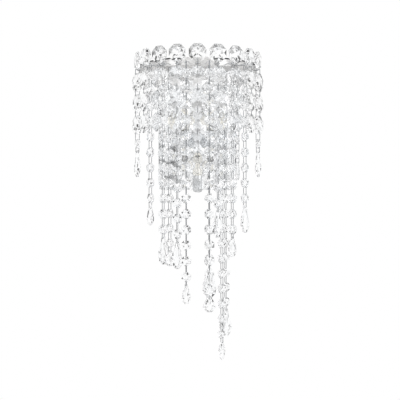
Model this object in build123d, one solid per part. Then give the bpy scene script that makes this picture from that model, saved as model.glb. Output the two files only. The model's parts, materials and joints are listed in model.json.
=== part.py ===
"""Crystal wall sconce: a steel back plate, two half-round hoops and hanging octagon chains.

Frame, in millimetres: the origin is at the middle of the back plate on the wall, +Z is up, +Y points
into the wall and the light stands out along -Y. A strand's place is an angle about a hoop's centre:
0 degrees is straight out from the wall, and positive angles lie towards +X.
"""

import math
import os

from build123d import *

# How far a cutting tool reaches past a face
CUT_REACH = 1.0

# Back plate, a pan of bent sheet that is open towards the wall
PLATE_WIDTH = 120.0
PLATE_HEIGHT = 200.0
PLATE_DEPTH = 22.0
PLATE_SHEET = 1.2
PLATE_CORNER = 5.0

# Mounting bar on the junction box, its studs and the cap nuts that hold the plate
BAR_END_GAP = 2.8
BAR_WIDTH = 22.0
BAR_THICKNESS = 2.5
BOX_SCREW_SPACING = 88.9
BOX_SLOT_WIDTH = 4.6
BOX_SLOT_LENGTH = 12.0
STUD_DIAMETER = 4.0
STUD_SPACING = 60.0
CAP_NUT_DIAMETER = 15.0
CAP_NUT_LENGTH = 16.0
CAP_NUT_DOME = 5.0
CAP_NUT_FLUTES = 18
CAP_NUT_FLUTE_DEPTH = 0.5
STUD_REACH = 9.0

# Hoops: half rings of upright band, carried by a crossbar on the plate and joined by spokes
HOOP_CENTRE_Y = -6.0
OUTER_HOOP_RADIUS = 91.0
INNER_HOOP_RADIUS = 60.0
HOOP_SHEET = 1.5
HOOP_HEIGHT = 11.5
HOOP_DROP = 21.0
HOOP_BOTTOM_Z = PLATE_HEIGHT / 2 - HOOP_DROP
SPOKE_HEIGHT = 5.0
SPOKE_ANGLES = (-50.0, 0.0, 50.0)
WELD_GAP = 0.05

# Octagon crystals: width across flats, whole thickness, edge thickness, hole to edge
BIG_WIDTH = 28.0
BIG_THICKNESS = 9.0
BIG_EDGE = 3.0
BIG_HOLE_INSET = 2.2
BIG_PITCH = 32.0
SMALL_WIDTH = 14.0
SMALL_THICKNESS = 6.0
SMALL_EDGE = 2.0
SMALL_HOLE_INSET = 1.6
SMALL_PITCH = 22.3
DROP_LINK = 7.5
FACET_RING = 0.68
FACET_RISE = 0.57
TABLE_RING = 0.22

# Drops that end the chains: width, length, thickness; outlines as shares of half width and length
PEAR_SIZE = (13.0, 29.0, 6.5)
ALMOND_SIZE = (11.5, 30.0, 6.0)
LONG_PEAR_SIZE = (16.0, 40.0, 7.5)
LARGE_PEAR_SIZE = (20.0, 42.0, 8.0)
ROUND_SIZE = (19.0, 24.0, 7.5)
PEAR_OUTLINE = ((0.30, 0.0), (0.42, 0.14), (0.72, 0.36), (0.95, 0.55), (1.0, 0.7), (0.78, 0.88), (0.3, 1.0))
ALMOND_OUTLINE = (
    (0.32, 0.0), (0.58, 0.16), (0.92, 0.38), (1.0, 0.52), (0.8, 0.74), (0.36, 0.93), (0.06, 1.0)
)
DROP_EDGE = 2.0
DROP_HOLE_INSET = 3.0
DROP_RING = 0.68
DROP_RISE = 0.7
DROP_TABLE_SHARE = 0.3

# Wire links through the crystals' holes, and the staples that the chains hang on
BIG_WIRE = 1.0
SMALL_WIRE = 0.9
LINK_CORNER = 0.9
LINK_SIDE_PLAY = 0.45
HOLE_PLAY = 0.35
STAPLE_WIRE = 1.4
STAPLE_WIDTH = 6.0
STAPLE_CORNER = 1.5
HANGER_RISE = 2.0
HANGER_Z = HOOP_BOTTOM_Z + HANGER_RISE
HANGER_PLAY = 0.1

# Where the chains hang: their radius is from the hoop's centre to the middle of the crystals
CHAIN_OFFSET = 6.0
FRONT_OFFSET = 9.0
CURTAIN_RADIUS = OUTER_HOOP_RADIUS + CHAIN_OFFSET
FRONT_RADIUS = CURTAIN_RADIUS + FRONT_OFFSET
INNER_RADIUS = INNER_HOOP_RADIUS + CHAIN_OFFSET
INMOST_RADIUS = INNER_HOOP_RADIUS - CHAIN_OFFSET

# Crown crystals, which stand on the outer hoop and are held by headed pins
CROWN_WIDTH = 25.0
CROWN_PIN_RISE = 6.7
CROWN_PIN_Z = HOOP_BOTTOM_Z + CROWN_PIN_RISE
CROWN_GAP = 0.3
CROWN_COUNT = 9
CROWN_EDGE_ANGLE = 70.0
CROWN_PIN_DIAMETER = 1.3
CROWN_PIN_HEAD = 3.4
CROWN_PIN_HEAD_THICKNESS = 1.0
CROWN_COLLAR_DIAMETER = 3.2

# Lamps: capsule lamps in fluted holders, two on a shelf and one on a stem below it
LAMP_SPACING = 40.0
LAMP_BACK_GAP = 1.5
LAMP_TOP_GAP = 5.0
SHELF_SHEET = 1.2
SHELF_FLANGE_HEIGHT = 14.0
SHELF_FRONT_LIP = 1.5
SHELF_SIDE_LIP = 0.5
HOLDER_DIAMETER = 15.6
HOLDER_HEIGHT = 25.0
HOLDER_ROUNDING = 5.5
HOLDER_FLUTES = 20
HOLDER_FLUTE_DEPTH = 0.4
HOLDER_SOCKET_DEPTH = 9.0
HOLDER_OVERHANG = 4.0
STEM_RISE = 12.0
STEM_DIAMETER = 8.0
STEM_FLANGE_DIAMETER = 14.0
STEM_INSIDE = 4.8
CAPSULE_DIAMETER = 12.0
CAPSULE_LENGTH = 45.0
CAPSULE_END_ROUNDING = 0.95
CAPSULE_PLAY = 0.3
LEAD_DIAMETER = 2.2
LEAD_BEND = 6.0
LEAD_DROP = 14.0
LEAD_INSIDE = 8.0
GROMMET_BORE = 4.0
GROMMET_WALL = 1.5
GROMMET_FLANGE = 2.0
BLOCK_WIDTH = 22.0
BLOCK_HEIGHT = 16.0
BLOCK_DROP = 28.0
BLOCK_SCREW = 3.0

# Where the lamps stand: in front of the cap nuts, the low holder over the plate's lower edge
LAMP_Y = -(PLATE_DEPTH + CAP_NUT_LENGTH + CAPSULE_DIAMETER / 2 + LAMP_BACK_GAP)
LOW_HOLDER_Z = -PLATE_HEIGHT / 2 - HOLDER_OVERHANG
STEM_Z = LOW_HOLDER_Z + STEM_RISE
LAMP_SHELF_Z = LOW_HOLDER_Z + HOLDER_HEIGHT - HOLDER_SOCKET_DEPTH + CAPSULE_LENGTH + LAMP_TOP_GAP
LAMP_SHELF_WIDTH = LAMP_SPACING + HOLDER_DIAMETER + 2 * SHELF_SIDE_LIP
LAMP_SHELF_DEPTH = -LAMP_Y - PLATE_DEPTH + HOLDER_DIAMETER / 2 + SHELF_FRONT_LIP
LEAD_LOW_Z = LAMP_SHELF_Z - LEAD_DROP
LEAD_INSIDE_Y = LEAD_INSIDE - PLATE_DEPTH
BLOCK_BOTTOM_Z = LEAD_LOW_Z - BLOCK_DROP

# Screws that fix the crossbar and the lamp bracket to the plate
SCREW_DIAMETER = 3.6
SCREW_HEAD_DIAMETER = 7.0
SCREW_HEAD_HEIGHT = 2.4
SCREW_LENGTH = 8.0
SCREW_PLAY = 0.15
CROSSBAR_SCREW_SPACING = 90.0
BRACKET_SCREW_SPACING = 14.0

# Chains as (angle, radius, big crystals, small crystals, drop)
CRYSTAL_ANGLE = 2 * math.degrees(math.atan((BIG_WIDTH + CROWN_GAP) / 2 / CURTAIN_RADIUS))
CROWN_STEP = max(CROWN_EDGE_ANGLE / ((CROWN_COUNT - 1) / 2), CRYSTAL_ANGLE)
CURTAIN_STRANDS = (
    (-4 * CROWN_STEP, CURTAIN_RADIUS, 3, 1, "long_pear"),
    (-3 * CROWN_STEP, CURTAIN_RADIUS, 3, 0, None),
    (-2 * CROWN_STEP, CURTAIN_RADIUS, 3, 0, None),
    (-1 * CROWN_STEP, CURTAIN_RADIUS, 3, 7, "long_pear"),
    (0.0, CURTAIN_RADIUS, 5, 0, None),
    (1 * CROWN_STEP, CURTAIN_RADIUS, 3, 5, "long_pear"),
    (2 * CROWN_STEP, CURTAIN_RADIUS, 3, 0, None),
    (3 * CROWN_STEP, CURTAIN_RADIUS, 3, 0, None),
    (4 * CROWN_STEP, CURTAIN_RADIUS, 3, 1, "long_pear"),
)
FRONT_STRANDS = (
    (-2.3 * CROWN_STEP, FRONT_RADIUS, 0, 9, "pear"),
    (-1.58 * CROWN_STEP, FRONT_RADIUS, 0, 11, "long_pear"),
    (-0.5 * CROWN_STEP, FRONT_RADIUS, 0, 14, "pear"),
    (0.52 * CROWN_STEP, FRONT_RADIUS, 0, 13, "large_pear"),
    (1.6 * CROWN_STEP, FRONT_RADIUS, 0, 11, "pear"),
    (2.3 * CROWN_STEP, FRONT_RADIUS, 0, 9, "long_pear"),
)
INNER_STRANDS = (
    (-58.0, INNER_RADIUS, 0, 6, "pear"),
    (-39.0, INNER_RADIUS, 0, 12, "round"),
    (15.0, INNER_RADIUS, 0, 15, "round"),
    (33.0, INNER_RADIUS, 0, 18, "almond"),
    (51.0, INMOST_RADIUS, 0, 16, "large_pear"),
    (66.0, INNER_RADIUS, 0, 6, "pear"),
)

# Chains that hang turned about their own length, towards the front
EDGE_TURN = 13.0
INMOST_TURN = 30.0
TURNED = {
    "curtain_strand_1": EDGE_TURN,
    "curtain_strand_9": -EDGE_TURN,
    "inner_strand_5": -INMOST_TURN,
}
STRANDS = {
    "curtain_strand": CURTAIN_STRANDS,
    "front_strand": FRONT_STRANDS,
    "inner_strand": INNER_STRANDS,
}


def at_angle(radius, angle, z):
    """A place on a circle about the hoops' centre; the local -Y axis then points outwards."""
    turn = math.radians(angle)
    return Location((radius * math.sin(turn), HOOP_CENTRE_Y - radius * math.cos(turn), z), (0, 0, angle))


def rod_y(diameter, start, end, x=0.0, z=0.0):
    """A round rod along Y between two values of Y."""
    middle = Location((x, (start + end) / 2, z), (90, 0, 0))
    return middle * Cylinder(diameter / 2, abs(end - start))


def box_between(low, high):
    """A box given by its lowest and highest corners."""
    size = [b - a for a, b in zip(low, high)]
    middle = [(a + b) / 2 for a, b in zip(low, high)]
    return Location(middle) * Box(*size)


def polyhedron(faces):
    """A closed solid from flat faces, each a list of corner points."""
    return Solid(Shell([Face(Wire.make_polygon(points, close=True)) for points in faces]))


# Crystals and links, each made once about its own hole or middle

def octagon_crystal(width, thickness, edge, hole_inset, wire):
    """An octagon cut in two tiers of facets, with a hole near its top and bottom; it faces along Y."""
    half = width / 2
    rise = (thickness - edge) / 2
    ring = range(8)

    def corners(apothem, start, y):
        radius = apothem / math.cos(math.pi / 8)
        turns = [math.radians(start + 45 * k) for k in ring]
        return [(radius * math.cos(turn), y, radius * math.sin(turn)) for turn in turns]

    faces = []
    rims = []
    for side in (-1, 1):
        rim = corners(half, 22.5, side * edge / 2)
        middle = corners(half * FACET_RING * math.cos(math.pi / 8), 45, side * (edge / 2 + FACET_RISE * rise))
        table = corners(half * TABLE_RING, 22.5, side * thickness / 2)
        for k in ring:
            faces.append([rim[k - 1], rim[k], middle[k - 1]])
            faces.append([middle[k - 1], middle[k], rim[k]])
            faces.append([middle[k - 1], middle[k], table[k]])
            faces.append([table[k - 1], table[k], middle[k - 1]])
        faces.append(table)
        rims.append(rim)
    back, front = rims
    faces += [[back[k], back[k - 1], front[k - 1], front[k]] for k in ring]
    hole = wire + 2 * HOLE_PLAY
    crystal = polyhedron(faces)
    for z in (half - hole_inset, hole_inset - half):
        crystal = crystal - rod_y(hole, -thickness, thickness, z=z)
    return crystal.solid()


def drop_crystal(size, outline, wire):
    """A drop cut in two tiers of facets; it hangs below its hole at the origin and faces along Y."""
    width, length, thickness = size
    half = [(share * width / 2, DROP_HOLE_INSET - along * length) for share, along in outline]
    ring = half + [(-x, z) for x, z in reversed(half)]
    belly = max(half)[1]
    steps = range(len(ring))
    between = [((ring[k - 1][0] + ring[k][0]) / 2, (ring[k - 1][1] + ring[k][1]) / 2) for k in steps]

    def layer(points, share, y):
        return [(x * share, y, belly + (z - belly) * share) for x, z in points]

    rise = (thickness - DROP_EDGE) / 2
    rims = []
    faces = []
    for side in (-1, 1):
        rim = layer(ring, 1, side * DROP_EDGE / 2)
        middle = layer(between, DROP_RING, side * (DROP_EDGE / 2 + DROP_RISE * rise))
        table = layer(ring, DROP_TABLE_SHARE, side * thickness / 2)
        for k in steps:
            faces.append([rim[k - 1], rim[k], middle[k]])
            faces.append([middle[k - 1], middle[k], rim[k - 1]])
            faces.append([middle[k - 1], middle[k], table[k - 1]])
            faces.append([table[k - 1], table[k], middle[k]])
        faces.append(table)
        rims.append(rim)
    back, front = rims
    faces += [[back[k], back[k - 1], front[k - 1], front[k]] for k in steps]
    hole = rod_y(wire + 2 * HOLE_PLAY, -thickness, thickness)
    return (polyhedron(faces) - hole).solid()


def wire_link(width, height, wire):
    """A rounded wire rectangle in the YZ plane; the middle of its top wire is at the origin."""
    path = Plane.YZ * RectangleRounded(width, height, LINK_CORNER).wire()
    start = path.position_at(0)
    section = Plane(start, z_dir=path.tangent_at(0)) * Circle(wire / 2)
    return sweep(section, path=path).solid().moved(Location((0, 0, -height / 2)))


def thickness_at_hole(width, thickness, edge, hole_inset):
    """How thick an octagon is where its hole goes through."""
    slope = (thickness - edge) * FACET_RISE / (width / 2 * (1 - FACET_RING))
    return min(thickness, edge + slope * hole_inset)


def link_width(hole_thickness, wire):
    """A link's width between wire centres, so that its straight top clears the crystal's faces."""
    return max(hole_thickness + 2 * LINK_SIDE_PLAY + wire, hole_thickness + 2 * LINK_CORNER)


BIG = dict(width=BIG_WIDTH, thickness=BIG_THICKNESS, edge=BIG_EDGE, hole_inset=BIG_HOLE_INSET)
CROWN = BIG | {"width": CROWN_WIDTH}
SMALL = dict(width=SMALL_WIDTH, thickness=SMALL_THICKNESS, edge=SMALL_EDGE, hole_inset=SMALL_HOLE_INSET)
BIG_HOLE = BIG_WIDTH / 2 - BIG_HOLE_INSET
CROWN_HOLE = CROWN_WIDTH / 2 - BIG_HOLE_INSET
SMALL_HOLE = SMALL_WIDTH / 2 - SMALL_HOLE_INSET
BIG_LINK = BIG_PITCH - 2 * BIG_HOLE
SMALL_LINK = SMALL_PITCH - 2 * SMALL_HOLE
DROPS = {
    "pear": (PEAR_SIZE, PEAR_OUTLINE),
    "almond": (ALMOND_SIZE, ALMOND_OUTLINE),
    "long_pear": (LONG_PEAR_SIZE, PEAR_OUTLINE),
    "large_pear": (LARGE_PEAR_SIZE, PEAR_OUTLINE),
    "round": (ROUND_SIZE, PEAR_OUTLINE),
}


def make_stock():
    """The crystals and links that the chains are made of."""
    big_width = link_width(thickness_at_hole(**BIG), BIG_WIRE)
    small_width = link_width(thickness_at_hole(**SMALL), SMALL_WIRE)
    stock = {
        "big": octagon_crystal(wire=BIG_WIRE, **BIG),
        "crown": octagon_crystal(wire=BIG_WIRE, **CROWN),
        "small": octagon_crystal(wire=SMALL_WIRE, **SMALL),
        "big_link": wire_link(big_width, BIG_LINK, BIG_WIRE),
        "small_link": wire_link(small_width, SMALL_LINK, SMALL_WIRE),
        "drop_link": wire_link(small_width, DROP_LINK, SMALL_WIRE),
        "change_link": wire_link(big_width, SMALL_LINK, SMALL_WIRE),
    }
    for name, (size, outline) in DROPS.items():
        stock[name] = drop_crystal(size, outline, SMALL_WIRE)
    return stock


def hook_height(wire):
    """How far a chain's top wire lies above the staple's axis that it hangs on."""
    return (STAPLE_WIRE + wire) / 2 + HANGER_PLAY


def strand(stock, angle, radius, big_count, small_count, drop, turn=0.0):
    """One chain, hung on its staple: its crystals and its links, as two lists of solids."""
    crystals, links = [], []
    wire = BIG_WIRE if big_count else SMALL_WIRE
    z = HANGER_Z + hook_height(wire)
    kinds = ["big"] * big_count + ["small"] * small_count + ([drop] if drop else [])
    above = kinds[0]
    twist = Location((0, 0, 0), (0, 0, turn))
    for kind in kinds:
        if kind == "big":
            link, length = "big_link", BIG_LINK
        elif above == "big":
            link, length = "change_link", SMALL_LINK
        elif kind == "small":
            link, length = "small_link", SMALL_LINK
        else:
            link, length = "drop_link", DROP_LINK
        links.append(stock[link].moved(at_angle(radius, angle, z) * twist))
        z -= length
        hole = {"big": BIG_HOLE, "small": SMALL_HOLE}.get(kind, 0.0)
        crystals.append(stock[kind].moved(at_angle(radius, angle, z - hole) * twist))
        z -= 2 * hole
        above = kind
    return crystals, links


# The frame

def back_plate():
    """The pan, with its holes for studs, screws and the leads."""
    outside = extrude(RectangleRounded(PLATE_WIDTH, PLATE_HEIGHT, PLATE_CORNER), PLATE_DEPTH)
    inside = extrude(
        RectangleRounded(
            PLATE_WIDTH - 2 * PLATE_SHEET, PLATE_HEIGHT - 2 * PLATE_SHEET, PLATE_CORNER - PLATE_SHEET
        ),
        PLATE_DEPTH - PLATE_SHEET,
    )
    pan = Rotation(90, 0, 0) * (outside - inside)
    front = -PLATE_DEPTH
    holes = [(side * STUD_SPACING / 2, 0, STUD_DIAMETER) for side in (-1, 1)]
    holes += [(x, z, SCREW_DIAMETER) for x, _, z in screw_places()]
    holes.append((0, STEM_Z, STEM_DIAMETER))
    ends = (front - CUT_REACH, front + PLATE_SHEET + CUT_REACH)
    for x, z, diameter in holes:
        pan -= rod_y(diameter + 2 * SCREW_PLAY, *ends, x, z)
    for side in (-1, 1):
        pan -= rod_y(GROMMET_BORE + 2 * GROMMET_WALL, *ends, side * LAMP_SPACING / 2, LEAD_LOW_Z)
    return [pan.solid()]


def mounting_bar():
    """The flat bar on the junction box, with its slots and stud holes."""
    length = PLATE_WIDTH - 2 * (PLATE_SHEET + BAR_END_GAP)
    bar = Location((0, -BAR_THICKNESS / 2, 0)) * Box(length, BAR_THICKNESS, BAR_WIDTH)
    slot = extrude(SlotOverall(BOX_SLOT_LENGTH, BOX_SLOT_WIDTH), 4 * BAR_THICKNESS, both=True)
    for side in (-1, 1):
        bar -= Location((side * BOX_SCREW_SPACING / 2, 0, 0), (90, 0, 0)) * slot
        bar -= rod_y(STUD_DIAMETER + 2 * WELD_GAP, -2 * BAR_THICKNESS, BAR_THICKNESS, side * STUD_SPACING / 2)
    return [bar.solid()]


def mounting_studs():
    """Two studs from the bar through the plate into the cap nuts."""
    ends = (0, -PLATE_DEPTH - STUD_REACH)
    return [rod_y(STUD_DIAMETER, *ends, side * STUD_SPACING / 2).solid() for side in (-1, 1)]


def cap_nuts():
    """Domed, fluted nuts on the plate's front."""
    low = (Align.CENTER, Align.CENTER, Align.MIN)
    radius = CAP_NUT_DIAMETER / 2
    nut = Cylinder(radius, CAP_NUT_LENGTH, align=low)
    nut = fillet(nut.faces().sort_by(Axis.Z)[-1].edges(), CAP_NUT_DOME)
    flute_radius = math.pi * radius / CAP_NUT_FLUTES / 2
    reach = radius + flute_radius - CAP_NUT_FLUTE_DEPTH
    for place in PolarLocations(reach, CAP_NUT_FLUTES):
        nut -= place * Cylinder(flute_radius, CAP_NUT_LENGTH - CAP_NUT_DOME, align=low)
    nut -= Cylinder(STUD_DIAMETER / 2 + WELD_GAP, STUD_REACH + WELD_GAP, align=low)
    nut = nut.solid()
    return [nut.moved(Location((side * STUD_SPACING / 2, -PLATE_DEPTH, 0), (90, 0, 0))) for side in (-1, 1)]


def hoop(radius, back_y):
    """A half ring of upright band about the hoops' centre, cut off at back_y."""
    middle = Location((0, HOOP_CENTRE_Y, HOOP_BOTTOM_Z + HOOP_HEIGHT / 2))
    outer_radius = radius + HOOP_SHEET / 2
    band = Cylinder(outer_radius, HOOP_HEIGHT) - Cylinder(outer_radius - HOOP_SHEET, HOOP_HEIGHT)
    reach = 2 * radius
    keep = box_between((-reach, -reach, HOOP_BOTTOM_Z), (reach, back_y, HOOP_BOTTOM_Z + HOOP_HEIGHT))
    return middle * band & keep


def crossbar_front():
    """Y of the crossbar's front face."""
    return -PLATE_DEPTH - HOOP_SHEET


def outer_hoop():
    return [hoop(OUTER_HOOP_RADIUS, HOOP_CENTRE_Y).solid()]


def inner_hoop():
    return [hoop(INNER_HOOP_RADIUS, crossbar_front() - WELD_GAP).solid()]


def hoop_crossbar():
    """The strip on the plate's front that the hoops' ends are welded to."""
    top = HOOP_BOTTOM_Z + HOOP_HEIGHT
    strip = box_between(
        (-OUTER_HOOP_RADIUS, crossbar_front(), HOOP_BOTTOM_Z), (OUTER_HOOP_RADIUS, -PLATE_DEPTH, top)
    )
    room = OUTER_HOOP_RADIUS - HOOP_SHEET / 2 - WELD_GAP
    strip = strip & Location((0, HOOP_CENTRE_Y, (HOOP_BOTTOM_Z + top) / 2)) * Cylinder(room, 2 * HOOP_HEIGHT)
    for x, back, z in screw_places():
        if back < -PLATE_DEPTH and z > HOOP_BOTTOM_Z:
            strip -= rod_y(SCREW_DIAMETER + 2 * SCREW_PLAY, back - CUT_REACH, 0, x, z)
    return [strip.solid()]


def hoop_spokes():
    """Flat strips between the two hoops, along their top edges."""
    start = INNER_HOOP_RADIUS + HOOP_SHEET / 2 + WELD_GAP
    end = OUTER_HOOP_RADIUS - HOOP_SHEET / 2 - 2 * WELD_GAP
    z = HOOP_BOTTOM_Z + HOOP_HEIGHT - SPOKE_HEIGHT / 2
    spoke = Box(HOOP_SHEET, end - start, SPOKE_HEIGHT).solid()
    return [spoke.moved(at_angle((start + end) / 2, angle, z)) for angle in SPOKE_ANGLES]


def screw_places():
    """(x, seat of the head in Y, z) of the screws for the crossbar and for the lamp bracket."""
    hoop_z = HOOP_BOTTOM_Z + HOOP_HEIGHT / 2
    flange_z = LAMP_SHELF_Z + SHELF_FLANGE_HEIGHT / 2
    places = [(side * CROSSBAR_SCREW_SPACING / 2, crossbar_front(), hoop_z) for side in (-1, 1)]
    flange_front = -PLATE_DEPTH - SHELF_SHEET
    places += [(side * BRACKET_SCREW_SPACING / 2, flange_front, flange_z) for side in (-1, 1)]
    return places


def panel_screws():
    """Pan-head screws through the crossbar and the bracket into the plate."""
    screws = []
    for x, seat, z in screw_places():
        shank = rod_y(SCREW_DIAMETER, seat, seat + SCREW_LENGTH, x, z)
        head = rod_y(SCREW_HEAD_DIAMETER, seat, seat - SCREW_HEAD_HEIGHT, x, z)
        head = fillet(head.faces().sort_by(Axis.Y)[0].edges(), SCREW_HEAD_HEIGHT / 2)
        screws.append((shank + head).solid())
    return screws


def staple(band_gap):
    """A U of wire whose bar lies along X at the origin; its legs run band_gap to the hoop's face."""
    half = STAPLE_WIDTH / 2
    reach = abs(band_gap)
    corners = ((-half, reach, 0), (-half, 0, 0), (half, 0, 0), (half, reach, 0))
    path = FilletPolyline(*corners, radius=STAPLE_CORNER)
    section = Plane(path.position_at(0), z_dir=path.tangent_at(0)) * Circle(STAPLE_WIRE / 2)
    wire = sweep(section, path=path.wire()).solid()
    return wire if band_gap > 0 else wire.moved(Location((0, 0, 0), (0, 0, 180)))


def hanger_staples():
    """One staple for each chain, on the outside or the inside of its hoop."""
    staples = []
    for rows in STRANDS.values():
        for angle, radius, *_ in rows:
            if radius > OUTER_HOOP_RADIUS:
                gap = radius - OUTER_HOOP_RADIUS - HOOP_SHEET / 2 - WELD_GAP
            elif radius > INNER_HOOP_RADIUS:
                gap = radius - INNER_HOOP_RADIUS - HOOP_SHEET / 2 - WELD_GAP
            else:
                gap = radius - INNER_HOOP_RADIUS + HOOP_SHEET / 2 + 3 * WELD_GAP
            staples.append(staple(gap).moved(at_angle(radius, angle, HANGER_Z)))
    return staples


def crown_angles():
    middle = (CROWN_COUNT - 1) / 2
    return [(k - middle) * CROWN_STEP for k in range(CROWN_COUNT)]


def crown_crystals(stock):
    """Octagons that stand on the outer hoop's front."""
    z = CROWN_PIN_Z + CROWN_HOLE
    return [stock["crown"].moved(at_angle(CURTAIN_RADIUS, angle, z)) for angle in crown_angles()]


def crown_pins():
    """Headed pins with a collar, from the hoop's face through each crown crystal's lower hole."""
    under_head = CROWN | {"hole_inset": BIG_HOLE_INSET + CROWN_PIN_HEAD / 2}
    half = thickness_at_hole(**under_head) / 2 + WELD_GAP
    face = CURTAIN_RADIUS - OUTER_HOOP_RADIUS - HOOP_SHEET / 2 - WELD_GAP
    shank = rod_y(CROWN_PIN_DIAMETER, face, -half)
    collar = rod_y(CROWN_COLLAR_DIAMETER, face, half)
    head = rod_y(CROWN_PIN_HEAD, -half, -half - CROWN_PIN_HEAD_THICKNESS)
    pin = (shank + collar + head).solid()
    return [pin.moved(at_angle(CURTAIN_RADIUS, angle, CROWN_PIN_Z)) for angle in crown_angles()]


# The lamps and their wiring

def lamp_bracket():
    """A bent shelf for two holders, with holes for its screws and the leads, and the low holder's stem."""
    front = -PLATE_DEPTH
    half = LAMP_SHELF_WIDTH / 2
    shelf = box_between(
        (-half, front - LAMP_SHELF_DEPTH, LAMP_SHELF_Z - SHELF_SHEET), (half, front, LAMP_SHELF_Z)
    )
    flange = box_between(
        (-half, front - SHELF_SHEET, LAMP_SHELF_Z), (half, front, LAMP_SHELF_Z + SHELF_FLANGE_HEIGHT)
    )
    bracket = shelf + flange
    for x, seat, z in screw_places():
        if z < HOOP_BOTTOM_Z:
            bracket -= rod_y(SCREW_DIAMETER + 2 * SCREW_PLAY, seat - CUT_REACH, front + CUT_REACH, x, z)
    for side in (-1, 1):
        way = Location((side * LAMP_SPACING / 2, LAMP_Y, LAMP_SHELF_Z))
        bracket -= way * Cylinder(LEAD_DIAMETER / 2 + CAPSULE_PLAY, 4 * SHELF_SHEET)
    return [bracket.solid(), holder_stem()]


def lamp_places():
    """Where each holder's foot stands: two on the shelf and one on the stem."""
    places = [Location((side * LAMP_SPACING / 2, LAMP_Y, LAMP_SHELF_Z)) for side in (-1, 1)]
    places.append(Location((0, LAMP_Y, LOW_HOLDER_Z)))
    return places


def lamp_holders():
    """Fluted barrels with a rounded foot and a socket for the lamp."""
    low = (Align.CENTER, Align.CENTER, Align.MIN)
    radius = HOLDER_DIAMETER / 2
    body = Cylinder(radius, HOLDER_HEIGHT, align=low)
    body = fillet(body.faces().sort_by(Axis.Z)[0].edges(), HOLDER_ROUNDING)
    flute_radius = math.pi * radius / HOLDER_FLUTES / 2
    reach = radius + flute_radius - HOLDER_FLUTE_DEPTH
    flute = Cylinder(flute_radius, HOLDER_HEIGHT - 2 * HOLDER_ROUNDING, align=low)
    for place in PolarLocations(reach, HOLDER_FLUTES):
        body -= Location((0, 0, HOLDER_ROUNDING)) * place * flute
    socket = Cylinder(CAPSULE_DIAMETER / 2 + CAPSULE_PLAY, HOLDER_HEIGHT, align=low)
    body -= Location((0, 0, HOLDER_HEIGHT - HOLDER_SOCKET_DEPTH)) * socket
    body = body.solid()
    return [body.moved(place) for place in lamp_places()]


def holder_stem():
    """The stem from inside the plate to the low holder's back, with a flange on the plate's front."""
    back = LAMP_Y + HOLDER_DIAMETER / 2 + WELD_GAP
    stem = rod_y(STEM_DIAMETER, back, -PLATE_DEPTH + STEM_INSIDE, z=STEM_Z)
    flange = rod_y(STEM_FLANGE_DIAMETER, -PLATE_DEPTH, -PLATE_DEPTH - SHELF_SHEET, z=STEM_Z)
    return (stem + flange).solid()


def lamp_capsules():
    """Round-ended capsule lamps that stand in the holders."""
    radius = CAPSULE_DIAMETER / 2
    lamp = Cylinder(radius, CAPSULE_LENGTH, align=(Align.CENTER, Align.CENTER, Align.MIN))
    lamp = fillet(lamp.faces().sort_by(Axis.Z)[-1].edges(), radius * CAPSULE_END_ROUNDING).solid()
    foot = Location((0, 0, HOLDER_HEIGHT - HOLDER_SOCKET_DEPTH))
    return [lamp.moved(place * foot) for place in lamp_places()]


def lead_wires():
    """A lead from each holder on the shelf, through its grommet to the side of the terminal block."""
    leads = []
    block_z = BLOCK_BOTTOM_Z + BLOCK_HEIGHT / 2
    for side in (-1, 1):
        x = side * LAMP_SPACING / 2
        path = FilletPolyline(
            (x, LAMP_Y, LAMP_SHELF_Z),
            (x, LAMP_Y, LEAD_LOW_Z),
            (x, LEAD_INSIDE_Y, LEAD_LOW_Z),
            (x, LEAD_INSIDE_Y, block_z),
            (side * BLOCK_WIDTH / 2, LEAD_INSIDE_Y, block_z),
            radius=LEAD_BEND,
        )
        section = Plane(path.position_at(0), z_dir=path.tangent_at(0)) * Circle(LEAD_DIAMETER / 2)
        leads.append(sweep(section, path=path.wire()).solid())
    return leads


def wire_grommets():
    """The bushes in the plate's lead holes, with a lip on each face."""
    front = -PLATE_DEPTH
    hole = GROMMET_BORE + 2 * GROMMET_WALL
    bush = rod_y(hole - 2 * WELD_GAP, front, front + PLATE_SHEET)
    for start in (front - GROMMET_WALL, front + PLATE_SHEET):
        bush += rod_y(hole + 2 * GROMMET_FLANGE, start, start + GROMMET_WALL)
    bush = (bush - rod_y(GROMMET_BORE, 2 * front, 0)).solid()
    return [bush.moved(Location((side * LAMP_SPACING / 2, 0, LEAD_LOW_Z))) for side in (-1, 1)]


def terminal_block():
    """The block inside the pan where the leads meet the supply; two screws open towards the wall."""
    back = -PLATE_DEPTH + PLATE_SHEET
    block = box_between(
        (-BLOCK_WIDTH / 2, back, BLOCK_BOTTOM_Z),
        (BLOCK_WIDTH / 2, LEAD_INSIDE_Y + LEAD_DIAMETER, BLOCK_BOTTOM_Z + BLOCK_HEIGHT),
    )
    for side in (-1, 1):
        middle_z = BLOCK_BOTTOM_Z + BLOCK_HEIGHT / 2
        block -= rod_y(BLOCK_SCREW, LEAD_INSIDE_Y, 0, side * BLOCK_WIDTH / 4, middle_z)
    return [block.solid()]


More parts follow.
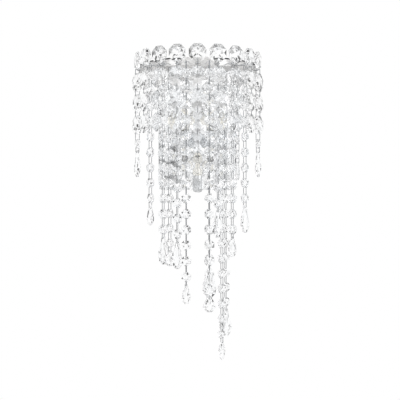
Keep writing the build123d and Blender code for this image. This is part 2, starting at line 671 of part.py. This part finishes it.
def make_nodes():
    """Every sub-part's solids, by node name."""
    stock = make_stock()
    nodes = {
        "back_plate": back_plate(),
        "mounting_bar": mounting_bar(),
        "mounting_studs": mounting_studs(),
        "cap_nuts": cap_nuts(),
        "outer_hoop": outer_hoop(),
        "inner_hoop": inner_hoop(),
        "hoop_crossbar": hoop_crossbar(),
        "hoop_spokes": hoop_spokes(),
        "panel_screws": panel_screws(),
        "hanger_staples": hanger_staples(),
        "crown_crystals": crown_crystals(stock),
        "crown_pins": crown_pins(),
        "lamp_bracket": lamp_bracket(),
        "lamp_holders": lamp_holders(),
        "lamp_capsules": lamp_capsules(),
        "lead_wires": lead_wires(),
        "wire_grommets": wire_grommets(),
        "terminal_block": terminal_block(),
    }
    for kind, rows in STRANDS.items():
        for number, row in enumerate(rows, 1):
            name = f"{kind}_{number}"
            crystals, links = strand(stock, *row, TURNED.get(name, 0.0))
            nodes[f"{name}_crystals"] = crystals
            nodes[f"{name}_links"] = links
    return nodes


def main():
    os.makedirs("parts", exist_ok=True)
    for name, solids in make_nodes().items():
        export_step(Compound(children=solids), f"parts/{name}.step")


if __name__ == "__main__":
    main()
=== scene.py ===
"""Looks for the crystal wall sconce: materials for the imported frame, studio light and the photo's camera.

Everything is in metres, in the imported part's own frame: +Z up, +Y into the wall, the light faces -Y.
"""

import json
import math

import bmesh
import bpy
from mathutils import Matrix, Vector


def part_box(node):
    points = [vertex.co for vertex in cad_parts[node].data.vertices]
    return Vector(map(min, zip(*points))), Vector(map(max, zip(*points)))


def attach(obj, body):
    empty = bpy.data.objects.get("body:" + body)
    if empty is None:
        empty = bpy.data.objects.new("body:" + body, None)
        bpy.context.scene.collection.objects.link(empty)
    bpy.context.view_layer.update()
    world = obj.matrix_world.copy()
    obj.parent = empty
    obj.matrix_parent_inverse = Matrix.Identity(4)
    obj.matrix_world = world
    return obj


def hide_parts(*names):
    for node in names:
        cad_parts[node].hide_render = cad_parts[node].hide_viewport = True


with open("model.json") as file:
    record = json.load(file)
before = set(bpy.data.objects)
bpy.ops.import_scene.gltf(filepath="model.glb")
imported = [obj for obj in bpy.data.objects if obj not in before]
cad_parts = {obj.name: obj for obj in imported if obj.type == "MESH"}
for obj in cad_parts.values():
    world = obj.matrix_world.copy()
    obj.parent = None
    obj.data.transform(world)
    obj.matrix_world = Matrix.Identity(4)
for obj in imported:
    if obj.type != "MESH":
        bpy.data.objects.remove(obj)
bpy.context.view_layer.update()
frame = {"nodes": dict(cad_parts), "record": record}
nodes = frame["nodes"]

# The photo's camera: its distance from the wall, its offset, its height and its field of view
CAMERA_DISTANCE = 1.2
CAMERA_X = 0.0035
CAMERA_Z = -0.1154
CAMERA_FIELD = math.radians(29.21)

# The pale round floor below the light
FLOOR_Z = -0.46
FLOOR_Y = -0.385
FLOOR_RADIUS = 0.5
FLOOR_SIDES = 96

# The soft boxes: name, place, width and height, and power in watts; all face one point of the light
SOFTBOXES = [
    ("softbox_left", (-0.9, -1.1, 0.7), (1.0, 1.4), 5.2),
    ("softbox_right", (1.0, -0.9, 0.4), (0.9, 1.4), 4.4),
]
SOFTBOX_AIM = Vector((0.0, -0.05, -0.1))

# The room round the light: dark and light patches from noise, and the noise values between which they blend
ROOM_DARK = 0.08
ROOM_LIGHT = 1.0
ROOM_PATCHES = (0.41, 0.46)
ROOM_SCALE = 14.0
ROOM_DETAIL = 2.0
ROOM_SHIFT = (0.35, 0.2, 0.6)

# The white field behind the light: how squarely a ray runs towards the wall where white starts and is full
WHITE_FIELD = (0.93, 0.995)

# Light passes many facets of the layered crystals before it gets out
LIGHT_BOUNCES = 32

# Scale and detail of the noise in each finish, and the part of its range that colour and roughness follow
TINT_NOISE = (18.0, 3.0)
POLISH_NOISE = (240.0, 4.0)
GRAIN_NOISE = (90.0, 5.0)
MOTTLE_DETAIL = 6.0
NOISE_RANGE = (0.3, 0.7)

# Grain that runs along the hoop or across the plate: noise squeezed along Z
HOOP_GRAIN = (1.0, 1.0, 10.0)
PLATE_GRAIN = (1.0, 1.0, 12.0)

# The depth of the relief in metal and in dull surfaces, and the refractive indices of the glass
METAL_RELIEF = 0.0002
DULL_RELIEF = 0.0003
CRYSTAL_INDEX = 1.517
LAMP_INDEX = 1.47

# The painted dark reflection along the outer hoop's top edge: its height and fade, and the half width and
# fade of the middle that it leaves out, where a bright reflection falls
HOOP_PAINTED_REFLECTION_HEIGHT = 0.0021
HOOP_PAINTED_REFLECTION_FADE = 0.0004
HOOP_PAINTED_REFLECTION_COLOUR = (0.035, 0.035, 0.04)
REFLECTION_BRIGHT_HALF = 0.02
REFLECTION_BRIGHT_FADE = 0.004

# A lamp: its length, glass wall and foot, its sides and the steps of its round end
LAMP_LENGTH = 0.045
LAMP_WALL = 0.0007
LAMP_FOOT = 0.011
LAMP_SEGMENTS = 48
ARC_STEPS = 12

# The coiled filament on two posts inside a lamp
FILAMENT_RADIUS = 0.0011
FILAMENT_TURNS = 16
FILAMENT_WIRE = 0.00025
STEPS_PER_TURN = 16
POST_SPREAD = 0.0026
POST_WIRE = 0.0004
WIRE_ROUNDNESS = 3


def new_material(name):
    """A new node material, its node tree and its Principled shader."""
    material = bpy.data.materials.new(name)
    material.use_nodes = True
    tree = material.node_tree
    return material, tree, tree.nodes["Principled BSDF"]


def add_node(tree, kind, **values):
    """A new node with the inputs of those names set."""
    node = tree.nodes.new(kind)
    for key, value in values.items():
        node.inputs[key].default_value = value
    return node


def noise(tree, scale, detail, squeeze=(1.0, 1.0, 1.0)):
    """Noise over the object's own coordinates, squeezed along its axes."""
    where = tree.nodes.new("ShaderNodeTexCoord")
    mapping = add_node(tree, "ShaderNodeMapping", Scale=squeeze)
    texture = add_node(tree, "ShaderNodeTexNoise", Scale=scale, Detail=detail)
    tree.links.new(where.outputs["Object"], mapping.inputs["Vector"])
    tree.links.new(mapping.outputs["Vector"], texture.inputs["Vector"])
    return texture.outputs["Fac"]


def ramp(tree, source, low, high, reach=NOISE_RANGE):
    """A colour that goes from low to high while the source goes through its reach."""
    node = tree.nodes.new("ShaderNodeValToRGB")
    first, last = node.color_ramp.elements
    first.position, last.position = reach
    first.color, last.color = (*low, 1.0), (*high, 1.0)
    tree.links.new(source, node.inputs["Fac"])
    return node.outputs["Color"]


def map_range(tree, source, reach, low=0.0, high=1.0):
    """A number that goes from low to high while the source goes through its reach."""
    limits = {"From Min": reach[0], "From Max": reach[1], "To Min": low, "To Max": high}
    node = add_node(tree, "ShaderNodeMapRange", **limits)
    tree.links.new(source, node.inputs["Value"])
    return node.outputs["Result"]


def maths(tree, operation, *sources):
    """The result of an operation on one or two sockets."""
    node = tree.nodes.new("ShaderNodeMath")
    node.operation = operation
    for source, socket in zip(sources, node.inputs):
        tree.links.new(source, socket)
    return node.outputs["Value"]


def mix_colour(tree, factor, colour, other):
    """A colour that turns into another, plain one as the factor rises."""
    node = tree.nodes.new("ShaderNodeMix")
    node.data_type = "RGBA"
    node.inputs["B"].default_value = (*other, 1.0)
    tree.links.new(factor, node.inputs["Factor"])
    tree.links.new(colour, node.inputs["A"])
    return node.outputs["Result"]


def bump(tree, shader, source, strength, distance):
    """Small surface relief from a texture."""
    node = add_node(tree, "ShaderNodeBump", Strength=strength, Distance=distance)
    tree.links.new(source, node.inputs["Height"])
    tree.links.new(node.outputs["Normal"], shader.inputs["Normal"])


def glass_material(name, low, high, index, roughness):
    """Clear glass with the faintest tint and polishing marks."""
    material, tree, shader = new_material(name)
    shader.inputs["Transmission Weight"].default_value = 1.0
    shader.inputs["IOR"].default_value = index
    tint = ramp(tree, noise(tree, *TINT_NOISE), low, high)
    marks = map_range(tree, noise(tree, *POLISH_NOISE), NOISE_RANGE, 0.0, roughness)
    tree.links.new(tint, shader.inputs["Base Color"])
    tree.links.new(marks, shader.inputs["Roughness"])
    return material


def metal_material(name, low, high, rough, grain=(1.0, 1.0, 1.0), relief=0.05):
    """Metal with a grain: colour, roughness and relief follow the same squeezed noise."""
    material, tree, shader = new_material(name)
    shader.inputs["Metallic"].default_value = 1.0
    marks = noise(tree, *GRAIN_NOISE, grain)
    tree.links.new(ramp(tree, marks, low, high), shader.inputs["Base Color"])
    tree.links.new(map_range(tree, marks, NOISE_RANGE, *rough), shader.inputs["Roughness"])
    bump(tree, shader, marks, relief, METAL_RELIEF)
    return material


def dull_material(name, low, high, rough, scale, relief):
    """Rubber, moulded plastic or paint: mottled colour and a fine grain."""
    material, tree, shader = new_material(name)
    mottle = noise(tree, scale, MOTTLE_DETAIL)
    tree.links.new(ramp(tree, mottle, low, high), shader.inputs["Base Color"])
    tree.links.new(map_range(tree, mottle, NOISE_RANGE, *rough), shader.inputs["Roughness"])
    bump(tree, shader, mottle, relief, DULL_RELIEF)
    return material


def hoop_material(name):
    """Satin band with a grain that runs along it."""
    return metal_material(name, (0.82, 0.815, 0.81), (0.90, 0.895, 0.89), (0.42, 0.54), HOOP_GRAIN)


def painted_reflection_hoop_material(name):
    """The outer hoop's satin band with a painted dark reflection along its top edge, left out in its middle
    where a bright reflection falls.
    """
    material = hoop_material(name)
    tree = material.node_tree
    base = tree.nodes["Principled BSDF"].inputs["Base Color"]
    grain = base.links[0].from_socket
    where = tree.nodes.new("ShaderNodeTexCoord")
    split = tree.nodes.new("ShaderNodeSeparateXYZ")
    tree.links.new(where.outputs["Object"], split.inputs["Vector"])
    # Painted dark reflection: a dark strip along the top edge, but not near the middle, where the band
    # keeps its grain
    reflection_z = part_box("outer_hoop")[1][2] - HOOP_PAINTED_REFLECTION_HEIGHT
    reflection_strip = map_range(tree, split.outputs["Z"], (reflection_z, reflection_z + HOOP_PAINTED_REFLECTION_FADE))
    side = maths(tree, "ABSOLUTE", split.outputs["X"])
    past_middle = map_range(tree, side, (REFLECTION_BRIGHT_HALF, REFLECTION_BRIGHT_HALF + REFLECTION_BRIGHT_FADE))
    painted_dark_reflection = maths(tree, "MULTIPLY", reflection_strip, past_middle)
    tree.links.new(mix_colour(tree, painted_dark_reflection, grain, HOOP_PAINTED_REFLECTION_COLOUR), base)
    return material


# The finishes by record slot: the noise's low and high colour, then index or roughness, grain and relief
MATERIALS = {
    "crystal": glass_material("cut_crystal", (0.985, 0.992, 1.0), (1.0, 1.0, 1.0), CRYSTAL_INDEX, 0.01),
    "lamp_glass": glass_material("lamp_glass", (1.0, 0.985, 0.95), (1.0, 0.99, 0.965), LAMP_INDEX, 0.16),
    "hoop_steel": hoop_material("hoop_steel"),
    "polished_steel": metal_material(
        "polished_steel", (0.92, 0.925, 0.93), (0.96, 0.965, 0.97), (0.05, 0.12), PLATE_GRAIN
    ),
    "zinc_plate": metal_material("zinc_plate", (0.50, 0.51, 0.52), (0.66, 0.67, 0.68), (0.30, 0.45)),
    "chain_wire": metal_material("chain_wire", (0.24, 0.25, 0.26), (0.37, 0.38, 0.39), (0.12, 0.22)),
    "holder_shell": metal_material(
        "holder_shell", (0.60, 0.61, 0.62), (0.84, 0.85, 0.86), (0.12, 0.2), relief=0.3
    ),
    "lead_sleeve": dull_material(
        "lead_sleeve", (0.74, 0.74, 0.72), (0.82, 0.82, 0.80), (0.4, 0.55), scale=300.0, relief=0.1
    ),
    "grey_rubber": dull_material(
        "grey_rubber", (0.52, 0.52, 0.52), (0.64, 0.64, 0.64), (0.6, 0.8), scale=400.0, relief=0.3
    ),
    "block_plastic": dull_material(
        "block_plastic", (0.76, 0.75, 0.71), (0.84, 0.83, 0.79), (0.3, 0.4), scale=200.0, relief=0.1
    ),
}


def dress_frame():
    """Each CAD node gets its record slot's material; the outer hoop with its painted reflection, the
    staples and the pins have their own.
    """
    for subpart in frame["record"]["subparts"]:
        node = nodes[subpart["node"]]
        node.data.materials.clear()
        node.data.materials.append(MATERIALS[subpart["material_slot"]])
    nodes["outer_hoop"].data.materials[0] = painted_reflection_hoop_material("hoop_steel_painted_reflection")
    bright_wire = metal_material("bright_wire", (0.62, 0.63, 0.64), (0.72, 0.73, 0.74), (0.12, 0.22))
    for name in ("hanger_staples", "crown_pins"):
        nodes[name].data.materials[0] = bright_wire


def lamp_places():
    """The lamps' radius and the foot of each: two beside each other, and a low one between them."""
    low, high = (Vector(corner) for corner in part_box("lamp_capsules"))
    radius = (high.y - low.y) / 2
    middle = (low + high) / 2
    upper_z = high.z - LAMP_LENGTH
    feet = [(low.x + radius, upper_z), (high.x - radius, upper_z), (middle.x, low.z)]
    return radius, [Vector((x, middle.y, z)) for x, z in feet]


def half_capsule(radius, start, end):
    """Points (radius, height) up the side of a round-ended capsule, from start to its tip at end."""
    turns = [math.pi / 2 * k / ARC_STEPS for k in range(ARC_STEPS)]
    arc = [(radius * math.cos(turn), end - radius + radius * math.sin(turn)) for turn in turns]
    return [(radius, start)] + arc + [(0.0, end)]


def revolve(name, profile):
    """A closed mesh from a profile of (radius, height) that goes up the outside and down the inside."""
    mesh = bmesh.new()
    turns = [2 * math.pi * k / LAMP_SEGMENTS for k in range(LAMP_SEGMENTS)]
    rings = []
    for radius, height in profile:
        if radius == 0.0:
            rings.append([mesh.verts.new((0.0, 0.0, height))] * LAMP_SEGMENTS)
            continue
        rings.append([mesh.verts.new((radius * math.cos(t), radius * math.sin(t), height)) for t in turns])
    for below, above in zip(rings, rings[1:]):
        for k in range(LAMP_SEGMENTS):
            corners = list(dict.fromkeys((below[k - 1], below[k], above[k], above[k - 1])))
            if len(corners) > 2:
                mesh.faces.new(corners).smooth = True
    data = bpy.data.meshes.new(name)
    mesh.to_mesh(data)
    mesh.free()
    piece = bpy.data.objects.new(name, data)
    bpy.context.collection.objects.link(piece)
    return piece


def wire_curve(name, routes):
    """Round wires along lists of points, each with its own thickness, as one curve piece."""
    data = bpy.data.curves.new(name, "CURVE")
    data.dimensions = "3D"
    data.bevel_depth = POST_WIRE
    data.bevel_resolution = WIRE_ROUNDNESS
    data.use_fill_caps = True
    for thickness, points in routes:
        spline = data.splines.new("POLY")
        spline.points.add(len(points) - 1)
        for point, place in zip(spline.points, points):
            point.co = (*place, 1.0)
            point.radius = thickness / POST_WIRE
    piece = bpy.data.objects.new(name, data)
    bpy.context.collection.objects.link(piece)
    return piece


def filament_routes(lamp_radius):
    """The thickness and points of a lamp's coil and of the short and the long post that hold its ends."""
    coil_low = LAMP_FOOT + 2 * POST_SPREAD
    coil_high = LAMP_LENGTH - lamp_radius - POST_SPREAD
    coil = []
    steps = STEPS_PER_TURN * FILAMENT_TURNS
    for k in range(steps + 1):
        turn = 2 * math.pi * FILAMENT_TURNS * k / steps
        height = coil_low + (coil_high - coil_low) * k / steps
        coil.append((FILAMENT_RADIUS * math.cos(turn), FILAMENT_RADIUS * math.sin(turn), height))
    routes = [(FILAMENT_WIRE, coil)]
    short_post = (POST_SPREAD, coil_low - FILAMENT_RADIUS, coil[0])
    long_post = (-POST_SPREAD, coil_high + FILAMENT_RADIUS, coil[-1])
    for x, top, end in (short_post, long_post):
        routes.append((POST_WIRE, [(x, 0.0, LAMP_FOOT / 2), (x, 0.0, top), end]))
    return routes


def add_lamps():
    """Thin glass capsules with a coil between two posts, in place of the plain lamp solids."""
    radius, feet = lamp_places()
    outside = [(0.0, 0.0)] + half_capsule(radius, 0.0, LAMP_LENGTH)
    inside = half_capsule(radius - LAMP_WALL, LAMP_FOOT, LAMP_LENGTH - LAMP_WALL)
    routes = filament_routes(radius)
    for number, foot in enumerate(feet, 1):
        glass = revolve(f"lamp_glass_{number}", outside + inside[::-1] + [(0.0, LAMP_FOOT)])
        wires = wire_curve(f"lamp_filament_{number}", routes)
        for piece, slot in ((glass, "lamp_glass"), (wires, "polished_steel")):
            piece.location = foot
            piece.data.materials.append(MATERIALS[slot])
            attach(piece, "frame")
            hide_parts("lamp_capsules")


def add_camera():
    """The photo's view: level, straight at the wall."""
    data = bpy.data.cameras.new("photo_camera")
    data.sensor_fit = "HORIZONTAL"
    data.angle = CAMERA_FIELD
    camera = bpy.data.objects.new("photo_camera", data)
    camera.location = (CAMERA_X, -CAMERA_DISTANCE, CAMERA_Z)
    camera.rotation_euler = (math.pi / 2, 0.0, 0.0)
    bpy.context.collection.objects.link(camera)
    bpy.context.scene.camera = camera


def add_floor():
    """A pale round floor below the light."""
    bpy.ops.mesh.primitive_circle_add(
        vertices=FLOOR_SIDES, radius=FLOOR_RADIUS, fill_type="NGON", location=(0.0, FLOOR_Y, FLOOR_Z)
    )
    floor = bpy.context.object
    floor.name = "floor"
    paint = dull_material(
        "floor_paint", (0.86, 0.86, 0.86), (0.88, 0.88, 0.88), (0.8, 0.9), scale=30.0, relief=0.02
    )
    floor.data.materials.append(paint)


def add_softbox(name, location, size, power):
    """A soft area lamp that faces the light."""
    data = bpy.data.lights.new(name, "AREA")
    data.shape = "RECTANGLE"
    data.size, data.size_y = size
    data.energy = power
    lamp = bpy.data.objects.new(name, data)
    lamp.location = location
    aim = SOFTBOX_AIM - Vector(location)
    lamp.rotation_euler = aim.to_track_quat("-Z", "Y").to_euler()
    bpy.context.collection.objects.link(lamp)


def add_world():
    """A patchy room; the camera sees white, and so do metal and glass straight behind the light."""
    world = bpy.data.worlds.new("studio")
    bpy.context.scene.world = world
    world.use_nodes = True
    tree = world.node_tree
    where = tree.nodes.new("ShaderNodeTexCoord")
    shift = add_node(tree, "ShaderNodeMapping", Location=ROOM_SHIFT)
    patches = add_node(tree, "ShaderNodeTexNoise", Scale=ROOM_SCALE, Detail=ROOM_DETAIL)
    split = tree.nodes.new("ShaderNodeSeparateXYZ")
    tree.links.new(where.outputs["Generated"], shift.inputs["Vector"])
    tree.links.new(shift.outputs["Vector"], patches.inputs["Vector"])
    tree.links.new(where.outputs["Generated"], split.inputs["Vector"])
    room = ramp(tree, patches.outputs["Fac"], (ROOM_DARK,) * 3, (ROOM_LIGHT,) * 3, ROOM_PATCHES)
    behind = map_range(tree, split.outputs["Y"], WHITE_FIELD)
    behind.node.interpolation_type = "SMOOTHSTEP"
    path = tree.nodes.new("ShaderNodeLightPath")
    shiny = maths(tree, "MAXIMUM", path.outputs["Is Glossy Ray"], path.outputs["Is Transmission Ray"])
    shiny_behind = maths(tree, "MULTIPLY", shiny, behind)
    white = maths(tree, "MAXIMUM", path.outputs["Is Camera Ray"], shiny_behind)
    colour = mix_colour(tree, white, room, (1.0, 1.0, 1.0))
    tree.links.new(colour, tree.nodes["Background"].inputs["Color"])


dress_frame()
add_lamps()
add_camera()
add_floor()
for softbox in SOFTBOXES:
    add_softbox(*softbox)
add_world()
bpy.context.scene.view_settings.view_transform = "Standard"
bpy.context.scene.cycles.max_bounces = LIGHT_BOUNCES
bpy.context.scene.cycles.transmission_bounces = LIGHT_BOUNCES
bpy.context.scene.cycles.glossy_bounces = LIGHT_BOUNCES
